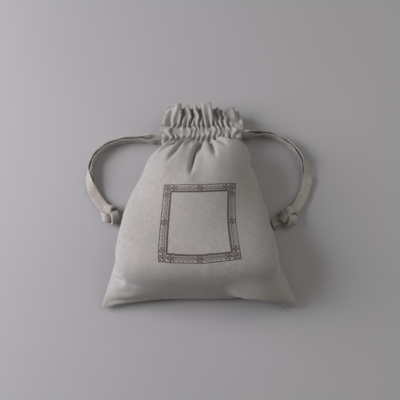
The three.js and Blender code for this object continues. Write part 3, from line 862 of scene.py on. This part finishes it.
def make_obstacle(obj):
    obj.modifiers.new("Obstacle", "COLLISION")
    obj.collision.thickness_outer = SIM_TOUCH
    obj.collision.cloth_friction = 1.0


def grow_filling(obj):
    """The filling starts as a thin slab in the flat bag and swells to its size."""
    thin = (0.9, 1.0, 0.12)
    lifted = START_Z * SIM_SCALE * 0.85
    for number, scale, lift in ((1, thin, lifted), (GATHER_FRAMES, (1.0, 1.0, 1.0), 0.0)):
        obj.scale = scale
        obj.location.z = lift
        obj.keyframe_insert("scale", frame=number)
        obj.keyframe_insert("location", frame=number)


def settle(mesh, held, weights):
    """Draws the rows up, swells the filling and lets the cloth settle. Gives every vertex's place."""
    scene = bpy.context.scene
    mesh.transform(Matrix.Scale(SIM_SCALE, 4))
    obj = new_object("settling", mesh)
    obj.vertex_groups.new(name="held").add(list(held), 1.0, "REPLACE")
    for name, shares in weights.items():
        group = obj.vertex_groups.new(name=name)
        for number, share in shares.items():
            group.add([number], share, "REPLACE")
    obj.shape_key_add(name="laid flat")
    drawn = obj.shape_key_add(name="drawn up")
    for number, place in held.items():
        drawn.data[number].co = place * SIM_SCALE
    for number, value in ((1, 0.0), (GATHER_FRAMES, 1.0)):
        drawn.value = value
        drawn.keyframe_insert("value", frame=number)
    cloth = obj.modifiers.new("Cloth", "CLOTH")
    set_all(cloth.settings, CLOTH)
    set_all(cloth.collision_settings, TOUCH)
    bm = bmesh.new()
    bmesh.ops.create_grid(bm, x_segments=2, y_segments=2, size=3.0)
    ground = new_object("ground", mesh_from(bm, "ground"))
    ground.data.transform(Matrix.Translation((0.0, 0.0, SIM_FLOOR * SIM_SCALE)))
    filling = filling_object()
    for obstacle in (ground, filling):
        make_obstacle(obstacle)
    grow_filling(filling)
    cloth.point_cache.frame_start, cloth.point_cache.frame_end = 1, SETTLE_FRAMES
    for number in range(1, SETTLE_FRAMES + 1):
        scene.frame_set(number)
    settled = obj.evaluated_get(bpy.context.evaluated_depsgraph_get()).to_mesh()
    places = [vert.co / SIM_SCALE for vert in settled.vertices]
    for used in (obj, ground, filling):
        bpy.data.objects.remove(used)
    for action in list(bpy.data.actions):
        bpy.data.actions.remove(action)
    scene.frame_set(1)
    return places


class Settled:
    """The settled bag: its mesh, and the place of each numbered point of the two panels."""

    mesh = None
    numbers = None
    columns = 0
    layout = None

    @classmethod
    def place(cls, side, row, column):
        return cls.mesh.vertices[cls.numbers[side, row, column]].co.copy()


def cloth_weights(numbers, layout):
    """Shares at each vertex: where the filling presses, and where the cloth is stiff or taken in."""
    _, lower, upper = layout
    weights = {"pressed": {}, "doubled": {}, "tucked": {}}
    for (side, row, _), number in numbers.items():
        if side == FRONT and row < upper:
            weights["pressed"][number] = 1.0
        if row > upper:
            weights["doubled"][number] = 1.0
            weights["tucked"][number] = RUFFLE_SHARE
        if side == BACK and row < lower:
            weights["tucked"][number] = UNDERSIDE_SHARE
    return weights


def over_runs(z, side, ply):
    """Lifts a height in the casing to where its cloth lies over the drawstrings."""
    away = side * (z - MOUTH_Z)
    least = FRONT_RUN_Z - MOUTH_Z + RUN_HALF[1] + ply + CASING_ROOM
    return MOUTH_Z + side * (away + least + math.hypot(away - least, CASING_EASE)) / 2


def settle_bag(cloth):
    mesh, numbers, columns, layout = flat_bag(cloth)
    _, lower, upper = layout
    held = held_places(cloth, numbers, columns, layout)
    places = settle(mesh.copy(), held, cloth_weights(numbers, layout))
    for vert, place in zip(mesh.vertices, places):
        vert.co = (place.x, place.y, max(place.z, FLOOR_GAP))
    for (side, row, _), number in numbers.items():
        if lower < row < upper:
            place = mesh.vertices[number].co
            place.z = max(over_runs(place.z, side, cloth.ply), FLOOR_GAP)
    Settled.mesh, Settled.numbers = mesh, numbers
    Settled.columns, Settled.layout = columns, layout


def attach_front(obj, slot, *nodes):
    """Bakes a piece of the front into place and lets it stand for its nodes."""
    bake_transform(obj)
    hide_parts(*nodes)


def skin(side, name, material, cloth):
    """One panel of the settled bag with its casing and ruffle, as cloth with a thickness."""
    bm = bmesh.new()
    bm.from_mesh(Settled.mesh)
    panel = bm.faces.layers.int["panel"]
    others = [face for face in bm.faces if face[panel] != side]
    bmesh.ops.delete(bm, geom=others, context="FACES")
    obj = object_from(bm, name, material)
    rows, _, upper = Settled.layout
    doubled = obj.vertex_groups.new(name="doubled")
    attribute = obj.data.attributes["flat"].data
    edge = rows[upper] - 0.5 * MM
    doubled.add([n for n in range(len(attribute)) if attribute[n].vector.y > edge], 1.0, "REPLACE")
    set_all(obj.modifiers.new("Ply", "SOLIDIFY"), {
        "thickness": cloth.ply * 2, "vertex_group": "doubled", "thickness_vertex_group": 0.5,
        "offset": -1.0})
    subdivide(obj)
    return obj


STITCH_RADIUS, STITCH_PROUD, STITCH_PITCH = 0.00028, 0.6, 1.35


def stitch_mesh(bm, at, ahead, length, radius):
    """One stitch: a small rounded capsule along the cloth."""
    verts = bmesh.ops.create_uvsphere(bm, u_segments=6, v_segments=5, radius=1.0)["verts"]
    turn = ahead.to_track_quat("Z", "Y").to_matrix().to_4x4()
    size = Matrix.Diagonal((radius, radius, length / 2, 1.0))
    bmesh.ops.transform(bm, matrix=Matrix.Translation(at) @ turn @ size, verts=verts)


def stitch_line(name, points, outward, material, tape):
    """A row of stitches along the points, just outside the cloth."""
    bm = bmesh.new()
    walked, due = 0.0, 0.0
    proud = STITCH_RADIUS * STITCH_PROUD
    for a, b, out in zip(points, points[1:], outward):
        length = (b - a).length
        while due <= walked + length and length > 0:
            at = a.lerp(b, (due - walked) / length)
            stitch_mesh(bm, at + out * proud, (b - a).normalized(), tape.stitch_length, STITCH_RADIUS)
            due += tape.stitch_length * STITCH_PITCH
        walked += length
    return object_from(bm, name, material)


def surface_normals(side, row):
    """Outward directions of the cloth along one row."""
    normals = []
    for column in range(Settled.columns):
        a = Settled.place(side, row, column)
        along = Settled.place(side, row, column + 1) - a
        up = Settled.place(side, row + 1, column) - Settled.place(side, row - 1, column)
        normals.append(along.cross(up).normalized() * side)
    return normals


CAMERA_TARGET = Vector((0.0, -0.002, 0.02))
# Place, size, share of the key's power, and colour
LAMPS = {
    "key": ((-0.70, 0.06, 0.37), 0.5, 1.0, (0.96, 0.93, 1.0)),
    "window": ((0.5, 0.12, 0.5), 0.7, 0.17, (1.0, 0.97, 0.93)),
}
SKY_COLOUR = (1.0, 0.98, 0.91, 1.0)
MOTTLE = (0.96, 1.03)


class BAG_OT_stage(Operator):
    """Make the floor, the light and the camera"""

    bl_idname = "bag.stage"
    bl_label = "Stage"

    def execute(self, context):
        stage = context.scene.bag_stage
        scene = context.scene
        scene.view_settings.view_transform = "Standard"
        back = Vector((0.0, -math.cos(stage.elevation), math.sin(stage.elevation)))
        camera = new_object("camera", bpy.data.cameras.new("camera"))
        set_all(camera.data, {"lens": stage.lens, "sensor_width": 36.0, "clip_start": 0.01})
        camera.location = CAMERA_TARGET + back * stage.distance
        camera.rotation_euler = back.to_track_quat("Z", "Y").to_euler()
        scene.camera = camera
        bm = bmesh.new()
        bmesh.ops.create_grid(bm, x_segments=1, y_segments=1, size=4.0)
        material, graph, shader = new_material("floor", 0.85, 0.0)
        place = graph.add("ShaderNodeTexCoord").outputs["Object"]
        shades = [(*[c * share for c in stage.floor], 1.0) for share in MOTTLE]
        graph.put(shader.inputs["Base Color"], graph.mix(graph.noise(place, 9.0, 3.0), *shades))
        floor = object_from(bm, "floor", material)
        for name, (at, size, share, tint) in LAMPS.items():
            light = bpy.data.lights.new(name, "AREA")
            set_all(light, {"energy": stage.key_power * share, "color": tint, "size": size})
            lamp = new_object(name, light)
            lamp.location = at
            lamp.rotation_euler = Vector(at).to_track_quat("Z", "Y").to_euler()
        world = bpy.data.worlds.new("sky")
        scene.world = world
        world.use_nodes = True
        background = world.node_tree.nodes["Background"].inputs
        background["Color"].default_value = SKY_COLOUR
        background["Strength"].default_value = stage.sky
        return {"FINISHED"}


class BAG_OT_finishes(Operator):
    """Make the shared node groups and the materials"""

    bl_idname = "bag.finishes"
    bl_label = "Finishes"

    def execute(self, context):
        cloth, tape = context.scene.bag_cloth, context.scene.bag_tape
        weave_group()
        border_group()
        woven_material("printed_linen", cloth.linen, cloth.thread_pitch, cloth.ink)
        woven_material("plain_linen", cloth.linen, cloth.thread_pitch)
        woven_material("linen_tape", tape.tape, cloth.thread_pitch * TAPE_PITCH)
        thread_material(tape.thread)
        return {"FINISHED"}


class BAG_OT_loops(Operator):
    """Make the strands, knots and tails outside the bag"""

    bl_idname = "bag.loops"
    bl_label = "Loops"

    def execute(self, context):
        tape = context.scene.bag_tape
        material = bpy.data.materials["linen_tape"]
        for name, plan in LOOPS.items():
            knot = tape_object(f"{name}_knot_tape", knot_frames(name), KNOT_HALF[0], material, closed=True)
            attach(knot, f"{name}_loop", "tape", f"{name}_knot")
            for layer, which in SIDES:
                tail = tape_object(f"{name}_{which}_tail_tape", tail_frames(name, layer, tape),
                                   tape.width / 2, material)
                attach(tail, f"{name}_loop", "tape", f"{name}_{which}_tail")
            for layer, which in SIDES:
                frames, centres = strand_frames(name, layer, tape)
                strand = tape_object(f"{name}_{which}_strand_tape", frames, tape.width / 2, material)
                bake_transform(strand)
                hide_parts(f"{name}_{which}_strand")
        return {"FINISHED"}


RUN_POINTS = 9
RUN_WAVE, RUN_ROLL = 0.0001, 0.12
# The turn at the far vent: how far in the flat part ends, then the way in and the rise of each point
TURN_IN = 0.003
TURN = ((0.0005, 0.0007), (0.0, 0.0022))


class BAG_OT_runs(Operator):
    """Make the stretches of the drawstrings inside the casing"""

    bl_idname = "bag.runs"
    bl_label = "Runs"

    def execute(self, context):
        material = bpy.data.materials["linen_tape"]
        for name, plan in LOOPS.items():
            side, lane = plan["side"], lane_y(name)
            for layer, which in SIDES:
                low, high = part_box(f"{name}_{which}_run")
                start, end = (high.x, low.x) if side > 0 else (low.x, high.x)
                if layer == FRONT:
                    body = f"{name}_front_drawstring"
                    points = self.wavy(start, end, lane, FRONT_RUN_Z)
                else:
                    body = f"{name}_drawstring"
                    points = self.wavy(start, end + side * TURN_IN, lane, BACK_RUN_Z)
                    turn = end + side * RUN_HALF[1]
                    points += [Vector((turn + side * inward, lane, BACK_RUN_Z + rise))
                               for inward, rise in TURN]
                    points.append(Vector((turn, lane, high.z)))
                piece = self.run_piece(f"{name}_{which}_run_tape", points, material)
                attach(piece, body, "tape", f"{name}_{which}_run")
        return {"FINISHED"}

    def run_piece(self, name, points, material):
        path = smooth_path(points, 5)
        frames = []
        for k, (at, ahead) in enumerate(zip(path, directions(path))):
            across = Vector((0.0, 1.0, RUN_ROLL * math.sin(1.7 * k)))
            frames.append(section_frame(at, ahead, across, *RUN_HALF))
        return tape_object(name, frames, RUN_HALF[0], material)

    def wavy(self, start, end, y, z):
        points = []
        for k in range(RUN_POINTS + 1):
            x = start + (end - start) * k / RUN_POINTS
            points.append(Vector((x, y + RUN_WAVE * math.sin(2.3 * k), z + RUN_WAVE * math.cos(3.1 * k))))
        return points


class BAG_OT_linen(Operator):
    """Settle the linen over its filling and make the front and the back"""

    bl_idname = "bag.linen"
    bl_label = "Linen"

    def execute(self, context):
        cloth = context.scene.bag_cloth
        settle_bag(cloth)
        front = skin(FRONT, "front_linen", bpy.data.materials["printed_linen"], cloth)
        attach_front(front, "linen", "front_panel", "front_casing", "front_header")
        back = skin(BACK, "back_linen", bpy.data.materials["plain_linen"], cloth)
        attach(back, "bag", "linen", "back_panel", "back_casing", "back_header")
        return {"FINISHED"}


FACING_RIPPLE, FACING_FULLNESS = 0.00035, 2.2


class BAG_OT_facings(Operator):
    """Make the hems turned in behind the channels"""

    bl_idname = "bag.facings"
    bl_label = "Facings"

    def execute(self, context):
        cloth = context.scene.bag_cloth
        for name, body in (("front", "front_collar"), ("back", "bag")):
            low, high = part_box(f"{name}_facing")
            bm = bmesh.new()
            flat = bm.verts.layers.float_vector.new("flat")
            bmesh.ops.create_grid(bm, x_segments=80, y_segments=6, size=0.5)
            for vert in bm.verts:
                u, v = vert.co.x, vert.co.y
                ripple = FACING_RIPPLE * math.sin(38.0 * u + 2.0 * v) * math.cos(11.0 * u)
                vert[flat] = (u * (high.x - low.x) * FACING_FULLNESS, v * (high.y - low.y), FACING_LAYER)
                vert.co = ((low.x + high.x) / 2 + u * (high.x - low.x),
                           (low.y + high.y) / 2 + v * (high.y - low.y),
                           (low.z + high.z) / 2 + ripple)
            piece = object_from(bm, f"{name}_facing_linen", bpy.data.materials["plain_linen"])
            set_all(piece.modifiers.new("Ply", "SOLIDIFY"), {"thickness": cloth.ply, "offset": 0.0})
            subdivide(piece)
            attach(piece, body, "linen", f"{name}_facing")
        return {"FINISHED"}


SEAM_ROWS, SEAM_COLUMNS = 2, 3


class BAG_OT_stitching(Operator):
    """Sew the casing rows and the seams"""

    bl_idname = "bag.stitching"
    bl_label = "Stitching"

    def execute(self, context):
        tape = context.scene.bag_tape
        material = bpy.data.materials["sewing_thread"]
        _, lower, upper = Settled.layout
        count = Settled.columns
        for side, name in SIDES:
            for row, level in ((lower, "lower"), (upper, "upper")):
                points = [Settled.place(side, row, column) for column in range(count + 1)]
                outward = surface_normals(side, row)
                line = stitch_line(f"{name}_{level}_stitches", points, outward, material, tape)
                if side == FRONT:
                    attach_front(line, "thread", f"{name}_{level}_stitching")
                else:
                    attach(line, "bag", "thread", f"{name}_{level}_stitching")
        up = range(SEAM_ROWS, lower - 1)
        seams = {"left": [(row, SEAM_COLUMNS) for row in up],
                 "right": [(row, count - SEAM_COLUMNS) for row in up],
                 "bottom": [(SEAM_ROWS, column) for column in range(SEAM_ROWS, count - 1)]}
        for name, along in seams.items():
            points = [(Settled.place(FRONT, *at) + Settled.place(BACK, *at)) / 2 for at in along]
            line = stitch_line(f"{name}_seam_stitches", points, [Vector()] * len(points), material, tape)
            attach(line, "bag", "thread", f"{name}_seam_thread")
        return {"FINISHED"}


class BAG_PT_panel(Panel):
    """The bag's making, step by step"""

    bl_idname = "BAG_PT_panel"
    bl_label = "Drawstring bag"
    bl_space_type = "VIEW_3D"
    bl_region_type = "UI"
    bl_category = "Bag"

    def draw(self, context):
        for operator in OPERATORS:
            self.layout.operator(operator.bl_idname)
        for name, group in GROUPS.items():
            box = self.layout.box()
            for item in group.__annotations__:
                box.prop(getattr(context.scene, name), item)


OPERATORS = (BAG_OT_stage, BAG_OT_finishes, BAG_OT_loops, BAG_OT_runs, BAG_OT_linen, BAG_OT_facings,
             BAG_OT_stitching)
GROUPS = {"bag_cloth": BagCloth, "bag_tape": BagTape, "bag_stage": BagStage}
CLASSES = (*GROUPS.values(), *OPERATORS, BAG_PT_panel)


def register():
    for item in CLASSES:
        bpy.utils.register_class(item)
    for name, group in GROUPS.items():
        setattr(bpy.types.Scene, name, PointerProperty(type=group))


def unregister():
    for name in GROUPS:
        delattr(bpy.types.Scene, name)
    for item in reversed(CLASSES):
        bpy.utils.unregister_class(item)


def main():
    register()
    bpy.ops.bag.stage()
    bpy.ops.bag.finishes()
    bpy.ops.bag.loops()
    bpy.ops.bag.runs()
    bpy.ops.bag.linen()
    bpy.ops.bag.facings()
    bpy.ops.bag.stitching()


if __name__ == "__main__":
    main()
